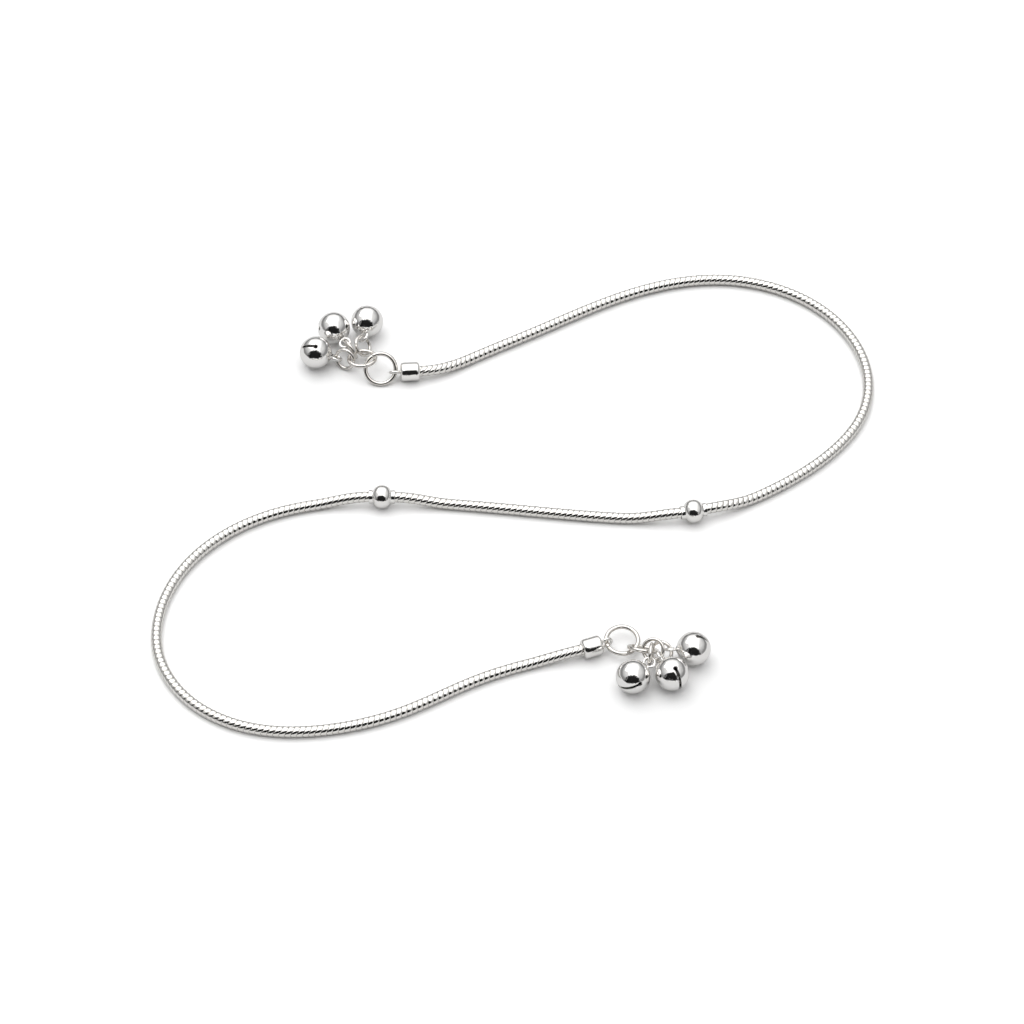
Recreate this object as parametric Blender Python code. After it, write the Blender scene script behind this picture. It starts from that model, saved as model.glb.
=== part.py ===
"""A payal anklet of polished silver, lying open in an S on a flat surface.

One round snake chain runs from end cap to end cap with two ball beads threaded on it. Each cap holds a
big jump ring in its eyelet, that ring holds a middle ring, and three small rings there each hold a
hollow slotted bell. Lengths are metres, +Z is up, and the surface that the anklet lies on is z = 0.
"""

from collections import namedtuple
from math import ceil, cos, pi, radians, sin

import bmesh
import bpy
import numpy as np
from mathutils import Matrix, Vector

# Snake chain
CHAIN_DIAMETER = 0.00150
CHAIN_STEP = 0.0036
CHAIN_BEVEL_RESOLUTION = 2
LIFT_SPAN = 0.0075
START_HEADING = 4
END_HEADING = 21
# The chain's route from the floor of the left socket to the floor of the right one, chosen by hand (x, y)
CHAIN_ROUTE = (
    (-0.0157, 0.0215), (-0.0130, 0.0217), (-0.0076, 0.0241), (0.0026, 0.0298), (0.0130, 0.0355),
    (0.0240, 0.0390), (0.0296, 0.0391), (0.0403, 0.0349), (0.0455, 0.0288), (0.0477, 0.0206),
    (0.0465, 0.0141), (0.0424, 0.0079), (0.0333, 0.0007), (0.0278, -0.0021), (0.0201, -0.0039),
    (0.0094, -0.0037), (-0.0013, -0.0025), (-0.0119, -0.0014), (-0.0226, -0.0011), (-0.0358, -0.0044),
    (-0.0441, -0.0115), (-0.0476, -0.0203), (-0.0473, -0.0269), (-0.0428, -0.0343), (-0.0353, -0.0384),
    (-0.0252, -0.0388), (-0.0153, -0.0359), (-0.0059, -0.0309), (0.0041, -0.0274), (0.0092, -0.0259),
)

# Fits: the play round the chain, between two linked wires, and under a loose pellet
CHAIN_PLAY = 0.00020
LINK_PLAY = 0.00020
PELLET_PLAY = 0.00030

# Ball beads, placed by their distance along the chain from its left end
BEAD_STATIONS = {"bead_right": 0.1148, "bead_left": 0.1567}
BEAD_DIAMETER = 0.0032
BEAD_LENGTH = 0.0026
BEAD_COLLAR_SPAN = 0.0035
BEAD_COLLAR_WALL = 0.00020

# End caps: a short barrel with a socket for the chain and a soldered eyelet
CAP_DIAMETER = 0.00265
CAP_LENGTH = 0.0027
CAP_EDGE_RADIUS = 0.00045
SOCKET_DEPTH = 0.0016
LEFT_EYELET_TURN = 51
RIGHT_EYELET_TURN = 90

# Soldered wire loops, alike on the caps and on the bells
LOOP_RADIUS = 0.00070
LOOP_WIRE_RADIUS = 0.00021
SOLDER_SINK = 0.00020

# Jump rings: the radius of the wire's centre line, and of the wire
BIG_RING_RADIUS = 0.00208
BIG_WIRE_RADIUS = 0.00028
MIDDLE_RING_RADIUS = 0.00185
MIDDLE_WIRE_RADIUS = 0.00025
SMALL_RING_RADIUS = 0.00135
SMALL_WIRE_RADIUS = 0.00022

# Bells
BELL_DIAMETER = 0.0045
BELL_WALL = 0.00030
SLOT_WIDTH = 0.00035
SLOT_END_RADIUS = 0.00030
SLOT_REACH = 75
PELLET_DIAMETER = 0.0013

# Facets of the round pieces
RING_STEPS = 16
WIRE_SIDES = 6
BARREL_SIDES = 16
BALL_RINGS = 10
EDGE_STEPS = 3
PELLET_SIDES = 10
PELLET_RINGS = 6

# How each ring and bell lies, in degrees. A grip or loop_at is the compass heading, seen from the ring's
# own centre, of the spot where the next piece holds it, and roll turns a ring about its own heading.
Ring = namedtuple("Ring", "grip heading pitch roll")
Bell = namedtuple("Bell", "grip heading pitch roll loop_at bell_heading slot_heading slot_pitch")
LEFT_BIG_RING = Ring(None, 169, 8, -38)
LEFT_MIDDLE_RING = Ring(126, 154, -8, 11)
LEFT_BELLS = {
    1: Bell(104, 76, 6, 51, 107, 82, 149, 64),
    2: Bell(139, 125, 1, 78, 150, 123, 187, 17),
    3: Bell(188, 161, -17, 114, 185, 177, -139, 66),
}
RIGHT_BIG_RING = Ring(None, 10, 0, 5)
RIGHT_MIDDLE_RING = Ring(-42, -24, 12, 136)
RIGHT_BELLS = {
    4: Bell(-31, -98, 32, -91, -88, -136, -42, 27),
    5: Bell(-97, -7, 15, -144, -50, -62, -62, 65),
    6: Bell(13, -21, 7, -128, 25, 1, 28, 67),
}

# Sizes that follow from those above
CHAIN_RADIUS = CHAIN_DIAMETER / 2
BORE_RADIUS = CHAIN_RADIUS + CHAIN_PLAY
BEAD_RADIUS = BEAD_DIAMETER / 2
CAP_RADIUS = CAP_DIAMETER / 2
BELL_RADIUS = BELL_DIAMETER / 2
PELLET_RADIUS = PELLET_DIAMETER / 2
LOOP_STANDOFF = LOOP_RADIUS + LOOP_WIRE_RADIUS - SOLDER_SINK

Seat = namedtuple("Seat", "start end height")


def clear_scene():
    """Remove every object of the open scene."""
    for item in list(bpy.data.objects):
        bpy.data.objects.remove(item, do_unlink=True)


def metal(name, colour, roughness):
    """A polished metal of one colour."""
    material = bpy.data.materials.new(name)
    material.use_nodes = True
    shader = material.node_tree.nodes["Principled BSDF"]
    shader.inputs["Base Color"].default_value = (*colour, 1)
    shader.inputs["Metallic"].default_value = 1
    shader.inputs["Roughness"].default_value = roughness
    return material


def add_object(name, data, material, matrix=Matrix.Identity(4)):
    """A named object of the scene, placed by a matrix."""
    data.materials.clear()
    data.materials.append(material)
    item = bpy.data.objects.new(name, data)
    item.matrix_world = matrix
    bpy.context.scene.collection.objects.link(item)
    return item


def mesh_from_faces(name, points, faces):
    """A mesh of points and faces, smooth shaded, with its faces turned outwards."""
    form = bmesh.new()
    corners = [form.verts.new(point) for point in points]
    for face in faces:
        form.faces.new([corners[index] for index in face])
    bmesh.ops.recalc_face_normals(form, faces=form.faces)
    mesh = bpy.data.meshes.new(name)
    form.to_mesh(mesh)
    form.free()
    mesh.shade_smooth()
    return mesh


def turned_mesh(name, profile, sides, closed=False):
    """A profile of (height, radius) turned about Z, whose points on the axis become poles."""
    points = []
    rows = []
    for height, radius in profile:
        count = sides if radius > 0 else 1
        rows.append([len(points) + step for step in range(count)])
        for step in range(count):
            angle = 2 * pi * step / sides
            points.append((radius * cos(angle), radius * sin(angle), height))
    faces = []
    pairs = list(zip(rows, rows[1:]))
    if closed:
        pairs.append((rows[-1], rows[0]))
    for lower, upper in pairs:
        for step in range(sides):
            after = (step + 1) % sides
            corners = (lower[step % len(lower)], lower[after % len(lower)],
                       upper[after % len(upper)], upper[step % len(upper)])
            faces.append(tuple(dict.fromkeys(corners)))
    return mesh_from_faces(name, points, faces)


def ring_mesh(name, radius, wire_radius):
    """A ring of round wire about Z, as a circle of the wire's section turned about the ring's axis."""
    profile = []
    for side in range(WIRE_SIDES):
        angle = 2 * pi * side / WIRE_SIDES
        profile.append((wire_radius * sin(angle), radius + wire_radius * cos(angle)))
    return turned_mesh(name, profile, RING_STEPS, closed=True)


def ball_mesh(name, radius, sides, rings):
    """A ball as a half circle turned about Z."""
    profile = [(-radius * cos(pi * ring / rings), radius * sin(pi * ring / rings)) for ring in range(1, rings)]
    return turned_mesh(name, [(-radius, 0), *profile, (radius, 0)], sides)


def box_mesh(name, low, high):
    """A box between two corners."""
    xs, ys, zs = zip(low, high)
    points = [(x, y, z) for x in xs for y in ys for z in zs]
    faces = [(0, 1, 3, 2), (4, 6, 7, 5), (0, 4, 5, 1), (2, 3, 7, 6), (0, 2, 6, 4), (1, 5, 7, 3)]
    return mesh_from_faces(name, points, faces)


def combined_mesh(name, base, steps):
    """The base mesh after a row of Boolean steps, each an operation with a mesh and its place."""
    stock = add_object(f"{name}_stock", base, SILVER)
    tools = []
    for index, (operation, mesh, matrix) in enumerate(steps):
        tool = add_object(f"{name}_tool_{index}", mesh, SILVER, matrix)
        tool.hide_render = True
        tool.display_type = "WIRE"
        tools.append(tool)
        boolean = stock.modifiers.new(f"{operation.lower()}_{index}", "BOOLEAN")
        boolean.operation = operation
        boolean.solver = "EXACT"
        boolean.object = tool
    bpy.context.view_layer.update()
    shaped = stock.evaluated_get(bpy.context.evaluated_depsgraph_get())
    mesh = bpy.data.meshes.new_from_object(shaped)
    mesh.name = name
    for item in (stock, *tools):
        bpy.data.objects.remove(item, do_unlink=True)
    return mesh


def compass(heading, pitch=0):
    """The unit vector at a compass heading in degrees, raised by a pitch."""
    level = cos(radians(pitch))
    return Vector((level * cos(radians(heading)), level * sin(radians(heading)), sin(radians(pitch))))


def square_to(direction, towards):
    """The unit vector square to a direction that leans most towards another."""
    return (towards - direction * towards.dot(direction)).normalized()


def rolled_normal(direction, roll):
    """The normal of a ring that runs along a direction: level at roll 0, then turned about it."""
    upright = square_to(direction, Vector((0, 0, 1)))
    side = direction.cross(upright)
    return upright * cos(radians(roll)) + side * sin(radians(roll))


def placed(centre, z_axis, x_hint):
    """The matrix that puts a form's own Z along one vector and its X nearest to another."""
    z_axis = z_axis.normalized()
    x_axis = square_to(z_axis, x_hint)
    y_axis = z_axis.cross(x_axis)
    turn = Matrix((x_axis, y_axis, z_axis)).transposed().to_4x4()
    return Matrix.Translation(centre) @ turn


def smooth_route(points, start, end):
    """A cubic spline through the points with the given end headings, as (distance, x, y) rows.

    Its slopes at the points make the curvature run on without a jump, and solve one set of equations.
    """
    points = np.array(points)
    spans = np.linalg.norm(np.diff(points, axis=0), axis=1)
    count = len(points)
    matrix = np.eye(count)
    right = np.zeros((count, 2))
    right[0] = (cos(radians(start)), sin(radians(start)))
    right[-1] = (cos(radians(end)), sin(radians(end)))
    for index in range(1, count - 1):
        before, after = spans[index - 1], spans[index]
        matrix[index, index - 1:index + 2] = (1 / before, 2 / before + 2 / after, 1 / after)
        rise_before = (points[index] - points[index - 1]) / before**2
        rise_after = (points[index + 1] - points[index]) / after**2
        right[index] = 3 * (rise_before + rise_after)
    slopes = np.linalg.solve(matrix, right)
    share = np.linspace(0, 1, 41)[:-1, None]
    stretches = []
    for index, span in enumerate(spans):
        stretches.append(
            (1 + 2 * share) * (1 - share)**2 * points[index] + share**2 * (3 - 2 * share) * points[index + 1]
            + share * (1 - share)**2 * span * slopes[index] - share**2 * (1 - share) * span * slopes[index + 1])
    line = np.vstack([*stretches, points[-1:]])
    distance = np.concatenate([[0], np.cumsum(np.linalg.norm(np.diff(line, axis=0), axis=1))])
    return np.column_stack([distance, line])


def chain_seats(length):
    """The stretches of chain that a cap or a bead lifts clear of the surface, with their heights."""
    half_bead = BEAD_COLLAR_SPAN / 2 + CHAIN_PLAY
    seats = [Seat(0, SOCKET_DEPTH + CHAIN_PLAY, CAP_RADIUS)]
    for station in BEAD_STATIONS.values():
        seats.append(Seat(station - half_bead, station + half_bead, BEAD_RADIUS))
    seats.append(Seat(length - SOCKET_DEPTH - CHAIN_PLAY, length, CAP_RADIUS))
    return seats


def chain_height(distance, seats):
    """The height of the chain's middle: its own radius, raised in a smooth hump to each seat."""
    height = CHAIN_RADIUS
    for seat in seats:
        away = max(seat.start - distance, distance - seat.end, 0)
        if away < LIFT_SPAN:
            height += (seat.height - CHAIN_RADIUS) * (1 + cos(pi * away / LIFT_SPAN)) / 2
    return height


def chain_point(route, seats, distance):
    """The chain's middle at a distance along it."""
    x = np.interp(distance, route[:, 0], route[:, 1])
    y = np.interp(distance, route[:, 0], route[:, 2])
    return Vector((x, y, chain_height(distance, seats)))


def chain_direction(route, seats, distance):
    """The level direction of the chain at a distance along it."""
    ahead = chain_point(route, seats, distance + CHAIN_RADIUS)
    behind = chain_point(route, seats, distance - CHAIN_RADIUS)
    run = ahead - behind
    run.z = 0
    return run.normalized()


def snake_chain(route, seats):
    """The chain as a round tube with a point every two or three diameters, and one at each seat's ends."""
    length = route[-1, 0]
    marks = sorted({0, length, *(seat.start for seat in seats), *(seat.end for seat in seats)})
    distances = [0]
    for start, end in zip(marks, marks[1:]):
        count = ceil((end - start) / CHAIN_STEP)
        distances.extend(start + (end - start) * (step + 1) / count for step in range(count))
    curve = bpy.data.curves.new("snake_chain", "CURVE")
    curve.dimensions = "3D"
    curve.bevel_depth = CHAIN_RADIUS
    curve.bevel_resolution = CHAIN_BEVEL_RESOLUTION
    curve.resolution_u = 1
    curve.render_resolution_u = 0
    curve.use_fill_caps = True
    spline = curve.splines.new("POLY")
    spline.points.add(len(distances) - 1)
    for point, distance in zip(spline.points, distances):
        point.co = (*chain_point(route, seats, distance), 1)
    add_object("snake_chain", curve, CHAIN_SILVER)


def bead_mesh():
    """A slightly flattened ball with a collar at both sides and a through bore."""
    collar_radius = BORE_RADIUS + BEAD_COLLAR_WALL
    collar_end = BEAD_COLLAR_SPAN / 2
    first = np.arcsin(collar_radius / BEAD_RADIUS)
    crown = [(-BEAD_LENGTH / 2 * cos(angle), BEAD_RADIUS * sin(angle))
             for angle in np.linspace(first, pi - first, BALL_RINGS)]
    profile = [(-collar_end, BORE_RADIUS), (-collar_end, collar_radius), *crown,
               (collar_end, collar_radius), (collar_end, BORE_RADIUS)]
    return turned_mesh("bead", profile, BARREL_SIDES, closed=True)


def add_beads(route, seats):
    """Both beads, coaxial with the chain where they are threaded."""
    mesh = bead_mesh()
    for name, station in BEAD_STATIONS.items():
        centre = chain_point(route, seats, station)
        along = chain_direction(route, seats, station)
        add_object(name, mesh.copy(), BEAD_SILVER, placed(centre, along, Vector((0, 0, 1))))


def cap_mesh(name):
    """A barrel with rounded edges and a blind socket at z = 0, with the eyelet soldered on its far end."""
    edge = [(pi / 2) * step / EDGE_STEPS for step in range(EDGE_STEPS + 1)]
    inner_radius = CAP_RADIUS - CAP_EDGE_RADIUS
    near = [(CAP_EDGE_RADIUS * (1 - sin(angle)), inner_radius + CAP_EDGE_RADIUS * cos(angle))
            for angle in reversed(edge)]
    far = [(CAP_LENGTH - CAP_EDGE_RADIUS * (1 - sin(angle)), inner_radius + CAP_EDGE_RADIUS * cos(angle))
           for angle in edge]
    floor = SOCKET_DEPTH + CHAIN_PLAY
    profile = [(floor, 0), (floor, BORE_RADIUS), (0, BORE_RADIUS), *near, *far, (CAP_LENGTH, 0)]
    barrel = turned_mesh(f"{name}_barrel", profile, BARREL_SIDES)
    loop = ring_mesh(f"{name}_loop", LOOP_RADIUS, LOOP_WIRE_RADIUS)
    eyelet_place = placed(Vector((0, 0, CAP_LENGTH + LOOP_STANDOFF)), Vector((0, 1, 0)), Vector((0, 0, 1)))
    return combined_mesh(name, barrel, [("UNION", loop, eyelet_place)])


def add_cap(name, chain_end, outward, eyelet_turn):
    """A cap whose socket holds the chain's end, and the middle of its eyelet's hole."""
    mouth = chain_end - outward * SOCKET_DEPTH
    eyelet_normal = rolled_normal(outward, eyelet_turn)
    matrix = placed(mouth, outward, eyelet_normal.cross(outward))
    add_object(name, cap_mesh(name), CAP_SILVER, matrix)
    return mouth + outward * (CAP_LENGTH + LOOP_STANDOFF)


def grip_point(centre, normal, heading, reach):
    """The spot at a reach from a ring's centre, in its plane, nearest to a compass heading."""
    return centre + square_to(normal, compass(heading)) * reach


def add_ring(name, grip, layout, radius, wire_radius):
    """A jump ring whose wire passes through a grip point, with its centre and normal."""
    direction = compass(layout.heading, layout.pitch)
    normal = rolled_normal(direction, layout.roll)
    centre = grip + direction * radius
    add_object(name, ring_mesh(name, radius, wire_radius), RING_SILVER, placed(centre, normal, direction))
    return centre, normal


def bell_mesh(name, slot_turn):
    """A ball shell with one long slot below, round holes at its ends, and a soldered loop on top."""
    inner_radius = BELL_RADIUS - BELL_WALL
    shell = ball_mesh(f"{name}_shell", BELL_RADIUS, BARREL_SIDES, BALL_RINGS)
    cavity = ball_mesh(f"{name}_cavity", inner_radius, BARREL_SIDES, BALL_RINGS)
    loop = ring_mesh(f"{name}_loop", LOOP_RADIUS, LOOP_WIRE_RADIUS)
    loop_place = placed(Vector((0, 0, BELL_RADIUS + LOOP_STANDOFF)), Vector((0, 1, 0)), Vector((0, 0, 1)))
    reach = radians(SLOT_REACH)
    slot = box_mesh(f"{name}_slot", (-BELL_DIAMETER, -SLOT_WIDTH / 2, -BELL_DIAMETER),
                    (BELL_DIAMETER, SLOT_WIDTH / 2, -BELL_RADIUS * cos(reach)))
    turn = Matrix.Rotation(slot_turn, 4, "Z")
    steps = [("DIFFERENCE", cavity, Matrix.Identity(4)), ("UNION", loop, loop_place), ("DIFFERENCE", slot, turn)]
    for side in (-1, 1):
        outward = Vector((side * sin(reach), 0, -cos(reach)))
        drill_profile = [(0, 0), (0, SLOT_END_RADIUS), (BELL_RADIUS, SLOT_END_RADIUS), (BELL_RADIUS, 0)]
        drill = turned_mesh(f"{name}_drill", drill_profile, PELLET_SIDES)
        start = outward * (inner_radius - BELL_WALL)
        steps.append(("DIFFERENCE", drill, turn @ placed(start, outward, Vector((0, 1, 0)))))
    return combined_mesh(name, shell, steps)


def add_bell(number, middle_centre, middle_normal, layout):
    """A small ring on the middle ring, the bell that it holds, resting on the surface, and its pellet."""
    reach = MIDDLE_RING_RADIUS - MIDDLE_WIRE_RADIUS - SMALL_WIRE_RADIUS - LINK_PLAY
    grip = grip_point(middle_centre, middle_normal, layout.grip, reach)
    centre, normal = add_ring(f"small_ring_{number}", grip, layout, SMALL_RING_RADIUS, SMALL_WIRE_RADIUS)
    hold = grip_point(centre, normal, layout.loop_at, SMALL_RING_RADIUS)
    arm = BELL_RADIUS + LOOP_STANDOFF
    sink = (BELL_RADIUS - hold.z) / arm
    level = compass(layout.bell_heading)
    outward = Vector((level.x, level.y, 0)) * (1 - sink**2)**0.5 + Vector((0, 0, sink))
    ball = hold + outward * arm
    wire_run = normal.cross(hold - centre)
    matrix = placed(ball, -outward, square_to(outward, wire_run).cross(-outward))
    slot_side = matrix.to_3x3().inverted() @ compass(layout.slot_heading, layout.slot_pitch)
    slot_turn = np.arctan2(slot_side.y, slot_side.x)
    name = f"bell_{number}"
    add_object(name, bell_mesh(name, slot_turn), BELL_SILVER, matrix)
    drop = BELL_RADIUS - BELL_WALL - PELLET_RADIUS - PELLET_PLAY
    pellet = ball_mesh(f"pellet_{number}", PELLET_RADIUS, PELLET_SIDES, PELLET_RINGS)
    add_object(f"pellet_{number}", pellet, PELLET_METAL, Matrix.Translation(ball - Vector((0, 0, drop))))


def add_cluster(side, eyelet, big_layout, middle_layout, bells):
    """The big ring in a cap's eyelet, the middle ring in that, and the bells on the middle ring."""
    big_centre, big_normal = add_ring(
        f"big_ring_{side}", eyelet, big_layout, BIG_RING_RADIUS, BIG_WIRE_RADIUS)
    reach = BIG_RING_RADIUS - BIG_WIRE_RADIUS - MIDDLE_WIRE_RADIUS - LINK_PLAY
    grip = grip_point(big_centre, big_normal, middle_layout.grip, reach)
    middle_centre, middle_normal = add_ring(
        f"middle_ring_{side}", grip, middle_layout, MIDDLE_RING_RADIUS, MIDDLE_WIRE_RADIUS)
    for number, layout in bells.items():
        add_bell(number, middle_centre, middle_normal, layout)


def build():
    """The whole anklet."""
    route = smooth_route(CHAIN_ROUTE, START_HEADING, END_HEADING)
    length = route[-1, 0]
    seats = chain_seats(length)
    snake_chain(route, seats)
    add_beads(route, seats)
    left_eyelet = add_cap("end_cap_left", chain_point(route, seats, 0),
                          -compass(START_HEADING), LEFT_EYELET_TURN)
    right_eyelet = add_cap("end_cap_right", chain_point(route, seats, length),
                           compass(END_HEADING), RIGHT_EYELET_TURN)
    add_cluster("left", left_eyelet, LEFT_BIG_RING, LEFT_MIDDLE_RING, LEFT_BELLS)
    add_cluster("right", right_eyelet, RIGHT_BIG_RING, RIGHT_MIDDLE_RING, RIGHT_BELLS)


clear_scene()
SILVER = metal("silver_stock", (0.90, 0.89, 0.87), 0.12)
CHAIN_SILVER = metal("silver_chain", (0.88, 0.87, 0.85), 0.18)
BEAD_SILVER = metal("silver_bead", (0.90, 0.89, 0.87), 0.10)
CAP_SILVER = metal("silver_cap", (0.90, 0.89, 0.87), 0.12)
RING_SILVER = metal("silver_ring", (0.90, 0.88, 0.85), 0.14)
BELL_SILVER = metal("silver_bell", (0.91, 0.90, 0.88), 0.10)
PELLET_METAL = metal("pellet_metal", (0.62, 0.61, 0.60), 0.35)
build()
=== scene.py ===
"""The looks of a polished silver payal anklet that lies open in an S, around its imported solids.

Lengths are metres. Each form of the anklet is a grid of points worked out whole with numpy: its rows run
along the piece and its columns run round it.
"""

import bmesh
import bpy
import numpy as np
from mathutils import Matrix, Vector


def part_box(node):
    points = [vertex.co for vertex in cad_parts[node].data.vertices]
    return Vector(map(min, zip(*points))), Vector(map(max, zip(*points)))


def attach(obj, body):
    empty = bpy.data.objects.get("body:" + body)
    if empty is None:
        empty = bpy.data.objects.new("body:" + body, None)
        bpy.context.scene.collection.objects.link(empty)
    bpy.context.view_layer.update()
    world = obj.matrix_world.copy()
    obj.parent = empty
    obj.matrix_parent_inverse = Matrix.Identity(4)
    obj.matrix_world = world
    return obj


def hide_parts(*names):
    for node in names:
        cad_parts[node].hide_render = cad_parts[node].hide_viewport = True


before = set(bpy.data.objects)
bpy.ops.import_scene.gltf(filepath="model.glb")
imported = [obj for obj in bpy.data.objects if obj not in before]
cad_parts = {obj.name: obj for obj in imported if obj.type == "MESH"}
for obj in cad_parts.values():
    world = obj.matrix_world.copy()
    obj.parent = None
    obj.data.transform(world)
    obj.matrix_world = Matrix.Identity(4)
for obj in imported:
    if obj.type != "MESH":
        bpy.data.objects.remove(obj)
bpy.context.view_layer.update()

# The chain's route from the floor of the left socket to the floor of the right one, as in the source
CHAIN_ROUTE = (
    (-0.0157, 0.0215), (-0.0130, 0.0217), (-0.0076, 0.0241), (0.0026, 0.0298), (0.0130, 0.0355),
    (0.0240, 0.0390), (0.0296, 0.0391), (0.0403, 0.0349), (0.0455, 0.0288), (0.0477, 0.0206),
    (0.0465, 0.0141), (0.0424, 0.0079), (0.0333, 0.0007), (0.0278, -0.0021), (0.0201, -0.0039),
    (0.0094, -0.0037), (-0.0013, -0.0025), (-0.0119, -0.0014), (-0.0226, -0.0011), (-0.0358, -0.0044),
    (-0.0441, -0.0115), (-0.0476, -0.0203), (-0.0473, -0.0269), (-0.0428, -0.0343), (-0.0353, -0.0384),
    (-0.0252, -0.0388), (-0.0153, -0.0359), (-0.0059, -0.0309), (0.0041, -0.0274), (0.0092, -0.0259),
)
START_HEADING = 4
END_HEADING = 21
LIFT_SPAN = 0.0075

# Sizes shared with the solids
CHAIN_RADIUS = 0.00075
CHAIN_PLAY = 0.0002
BEAD_RADIUS = 0.0016
BEAD_COLLAR_SPAN = 0.0035
BEAD_COLLAR_WALL = 0.0002
CAP_RADIUS = 0.001325
CAP_LENGTH = 0.0027
CAP_EDGE_RADIUS = 0.00045
SOCKET_DEPTH = 0.0016
LOOP_RADIUS = 0.0007
LOOP_WIRE_RADIUS = 0.00021
SOLDER_SINK = 0.0002
LOOP_STANDOFF = LOOP_RADIUS + LOOP_WIRE_RADIUS - SOLDER_SINK
BELL_RADIUS = 0.00225
BELL_WALL = 0.0003
SLOT_WIDTH = 0.00035
SLOT_END_RADIUS = 0.0003
SLOT_REACH = np.radians(75)

# The chain's nested cells: how far the seams wander is in cells, and so are the rows of a cell
CELL_PITCH = 0.00075
CELL_GROOVE = 0.00008
CELL_WAVE = 0.40
CELL_WAVE_ON_BENDS = 0.05
CELL_WAVE_AT_CAPS = 0.25
CAP_WAVE_SPAN = 0.016
CELL_TURN = np.radians(39)
CELL_SHARPNESS = 0.94
CELL_SIDES = 16
CELL_ROWS = np.array([0.0, 0.09, 0.28, 0.72, 0.91])

# Fine finish: clearances too small for the solids, fuller beads and wires, solder mounds and ring seams
SNUG = 0.00004
SHELL_BEVEL = 0.00006
BEAD_FULLNESS = 2.2
BALL_HALF_LENGTH = 0.00142
COLLAR_LIP = 0.6
COLLAR_BASE = 0.75
CAP_BULGE = 0.000015
CLOSING_RADIUS = 0.1 * SNUG
MOUND_RADIUS = 0.00052
MOUND_RISE = 2.4
MOUND_RISE_POWER = 0.8
MOUND_SPREAD = 1.02
MOUND_SPREAD_POWER = 0.6
RING_FULLNESS = 0.00003
SEAM_GAP = 0.00004
SEAM_EASE = 0.0001
SEAM_TAPER = 0.14
SEAM_SHARES = np.array([0, 0.3, 0.6])
BEVEL_SHARES = np.array([0, 0.25, 0.6, 1.0])
SLOT_WALL_LEAN = 0.3
MERGE_DISTANCE = 0.00000002
SMALLEST_AREA = 1e-18
SHARP_ANGLE = 50

# How finely the forms are divided
ROUTE_STEPS = 40
RING_STEPS = 60
RING_SIDES = 14
LOOP_STEPS = 40
LOOP_SIDES = 12
MOUND_STEPS = 8
MOUND_SIDES = 20
BEAD_STEPS = 25
CAP_EDGE_STEPS = 7
CAP_WALL_STEPS = 9
BARREL_SIDES = 48
SLOT_STEPS = 13
SHELL_STEPS = 16
PELLET_STEPS = 15
PELLET_SIDES = 28

# The silver's clouds and patches, whose scales are features in a metre, and the crown's span for the painted
# shade in the chain's grooves
CLOUD_SCALE = 900
PATCH_SCALE = 1500
PATCH_SPAN = (0.3, 0.7)
PATCH_ROUGHNESS = (0.7, 1.4)
COARSE_DETAIL = 3
FINE_DETAIL = 4
NOISE_ROUGHNESS = 0.55
GROOVE_SHADE_SPAN = (0, 0.6)

# Camera, found from the shape of the rings and the size of the balls across the picture
CAMERA_TARGET = Vector((-0.00140, -0.00234, 0.0))
CAMERA_ELEVATION = np.radians(51)
CAMERA_DISTANCE = 0.50109
CAMERA_LENS = 131.24
CAMERA_CLIP_START = 0.01

# The light tent, by sine of height: dim at the horizon, bright overhead, brightest in a band front to back
TENT_STOPS = ((0.0, 0.03), (0.10, 0.06), (0.24, 0.32), (0.45, 0.68), (0.70, 0.95), (1.0, 1.05))
TENT_BAND = 1.5
TENT_SIDES = 0.80
TENT_BAND_SPAN = (0.30, 0.70)
TENT_FRONT = 0.75
TENT_FRONT_SPAN = (-0.8, -0.35)
TENT_SIDE_WALL = 0.32
TENT_SIDE_SPAN = (0.35, 0.75)
OPENING_DIRECTION = (-0.06, -0.82, 0.566)
OPENING_HALF_WIDTH = np.radians(46)
OPENING_HALF_HEIGHT = np.radians(31)
OPENING_TAPER = 0.6
OPENING_POWER = 3.0
OPENING_EDGE = (0.7, 1.15)
OPENING_GLOW = 0.012
OPENING_RAGGED = 3.2
OPENING_RAGGED_SCALE = 7.0
BACKDROP_WHITE = 0.96

# The table top and the lamp
FLOOR_REACH = 4.0
FLOOR_TO_METAL = 0.79
# The floor's lift to the camera: less by the bells, whose shadows stay dark, and more along the chain, as
# painted light over its soft shadow
FLOOR_LIFT_BY_BELLS = 1.15
FLOOR_PAINTED_LIGHT_BY_CHAIN = 1.30
PAINTED_LIGHT_SPAN = (0.009, 0.016)
BELL_GROUPS = ((1, 2, 3), (4, 5, 6))
LAMP_PLACE = Vector((-0.28, 0.26, 0.62))
LAMP_SIZE = 0.6
LAMP_POWER = 0.9


def unit(vectors):
    """Vectors scaled to length one along the last axis."""
    vectors = np.asarray(vectors, float)
    return vectors / np.linalg.norm(vectors, axis=-1, keepdims=True)


def ease(value):
    """A smooth step: three squares less two cubes of the value, which is held between 0 and 1."""
    value = np.clip(value, 0, 1)
    return value * value * (3 - 2 * value)


def quads_between(lower, upper):
    """Four-cornered faces between two rows of point numbers that each wrap round."""
    return np.stack([lower, np.roll(lower, -1, -1), np.roll(upper, -1, -1), upper], -1).reshape(-1, 4)


def fan_of(row, pole):
    """Triangles from a row of point numbers that wraps round to one pole."""
    return np.stack([row, np.roll(row, -1), np.full(len(row), pole)], -1)


def skin(points, close_rows=False, poles=()):
    """The points, quads and triangles of a grid whose columns wrap round.

    Its rows wrap too, or a pole closes the first row and another the last.
    """
    rows, columns = points.shape[:2]
    index = np.arange(rows * columns).reshape(rows, columns)
    if close_rows:
        quads = quads_between(index, np.roll(index, -1, 0))
    else:
        quads = quads_between(index[:-1], index[1:])
    fans = [fan_of(row, rows * columns + order) for order, row in enumerate(index[[0, -1]][:len(poles)])]
    flat = np.vstack([points.reshape(-1, 3), *np.reshape(poles, (-1, 1, 3))])
    return flat, quads, np.vstack([np.empty((0, 3), int), *fans])


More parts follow.
